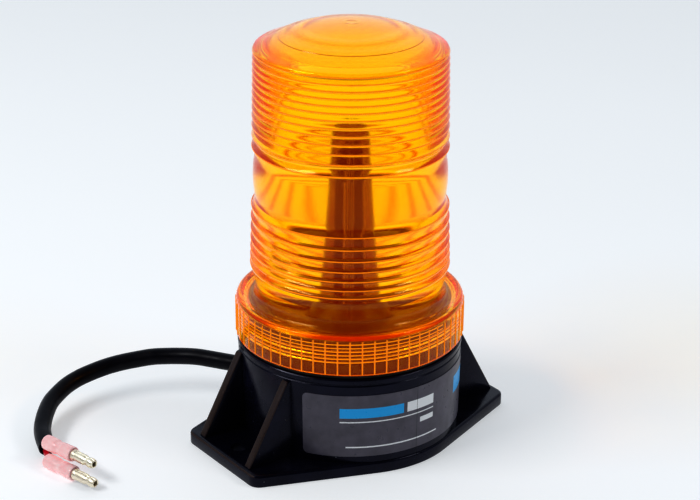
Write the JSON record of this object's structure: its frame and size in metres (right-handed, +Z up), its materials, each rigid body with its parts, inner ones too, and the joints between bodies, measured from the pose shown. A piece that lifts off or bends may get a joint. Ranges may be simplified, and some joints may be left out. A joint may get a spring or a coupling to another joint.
{
  "type": "screw-lens strobe beacon",
  "caption": "Amber strobe beacon: ribbed screw-on drum lens with fluted collar over a flash tube, on a black two-ear flanged base with gussets and a short bullet-terminal lead.",
  "frame": {"origin": "centre of the flange's flat underside, on the lens axis", "axes": "+Z up along the lens axis, X through the two bolt ears, -Y towards the label; the cable leaves between -X and +Y"},
  "size_m": [0.1851, 0.1289, 0.1703],
  "materials": {
    "black_housing": "glossy black moulding",
    "amber_lens": "clear amber polycarbonate",
    "black_rubber": "matte rubber",
    "label_film": "satin printed film",
    "dark_moulding": "satin phenolic",
    "screw_steel": "plated steel",
    "bright_aluminium": "bright rolled",
    "brass_contact": "plain",
    "clear_glass": "clear",
    "smoked_guard": "clear moulding",
    "board_green": "solder mask",
    "terminal_blue": "moulded",
    "capacitor_sleeve": "shrink film",
    "film_red": "dipped resin",
    "ferrite": "ground ferrite",
    "copper_winding": "enamelled wire",
    "tape_yellow": "polyester tape",
    "component_black": "moulded epoxy",
    "resistor_tan": "lacquer",
    "lead_white": "silicone wire",
    "core_red": "vinyl insulation",
    "cable_jacket": "satin vinyl",
    "pink_sleeve": "soft vinyl",
    "tinned_pin": "tinned brass"
  },
  "bodies": {
    "base": {"base_housing": "black_housing", "product_label": "label_film", "tube_deck": "dark_moulding", "deck_screws": "screw_steel", "reflector_plate": "bright_aluminium", "tube_socket": "dark_moulding", "socket_contacts": "brass_contact", "flash_tube": "clear_glass", "tube_electrodes": "screw_steel", "trigger_wire": "screw_steel", "tube_guard": "smoked_guard", "circuit_board": "board_green", "board_spacers": "brass_contact", "board_screws": "screw_steel", "terminal_block": "terminal_blue", "storage_capacitor": "capacitor_sleeve", "capacitor_cap": "bright_aluminium", "film_capacitor": "film_red", "converter_core": "ferrite", "converter_winding": "copper_winding", "trigger_transformer": "tape_yellow", "power_transistor": "component_black", "heat_sink": "bright_aluminium", "heat_sink_screw": "screw_steel", "rectifier_diodes": "component_black", "resistors": "resistor_tan", "tube_leads": "lead_white", "supply_leads": "core_red", "cable_grommet": "black_rubber", "cable": "cable_jacket", "core_wires": "core_red", "upper_bullet_sleeve": "pink_sleeve", "lower_bullet_sleeve": "pink_sleeve", "upper_bullet_pin": "tinned_pin", "lower_bullet_pin": "tinned_pin"},
    "gasket": {"lens_gasket": "black_rubber"},
    "lens": {"lens": "amber_lens"}
  },
  "joints": [
    {"name": "lens_lift", "type": "slide", "parent": "base", "child": "gasket", "axis": [0, 0, 1], "range_m": [0, 0.009]},
    {"name": "lens_turn", "type": "hinge", "parent": "gasket", "child": "lens", "pos_m": [0, 0, 0.05], "axis": [0, 0, 1], "range_deg": [0, 1080]}
  ],
  "couplings": [
    {"joint": "lens_lift", "follows": "lens_turn", "m_per_rad": 0.00047746}
  ]
}
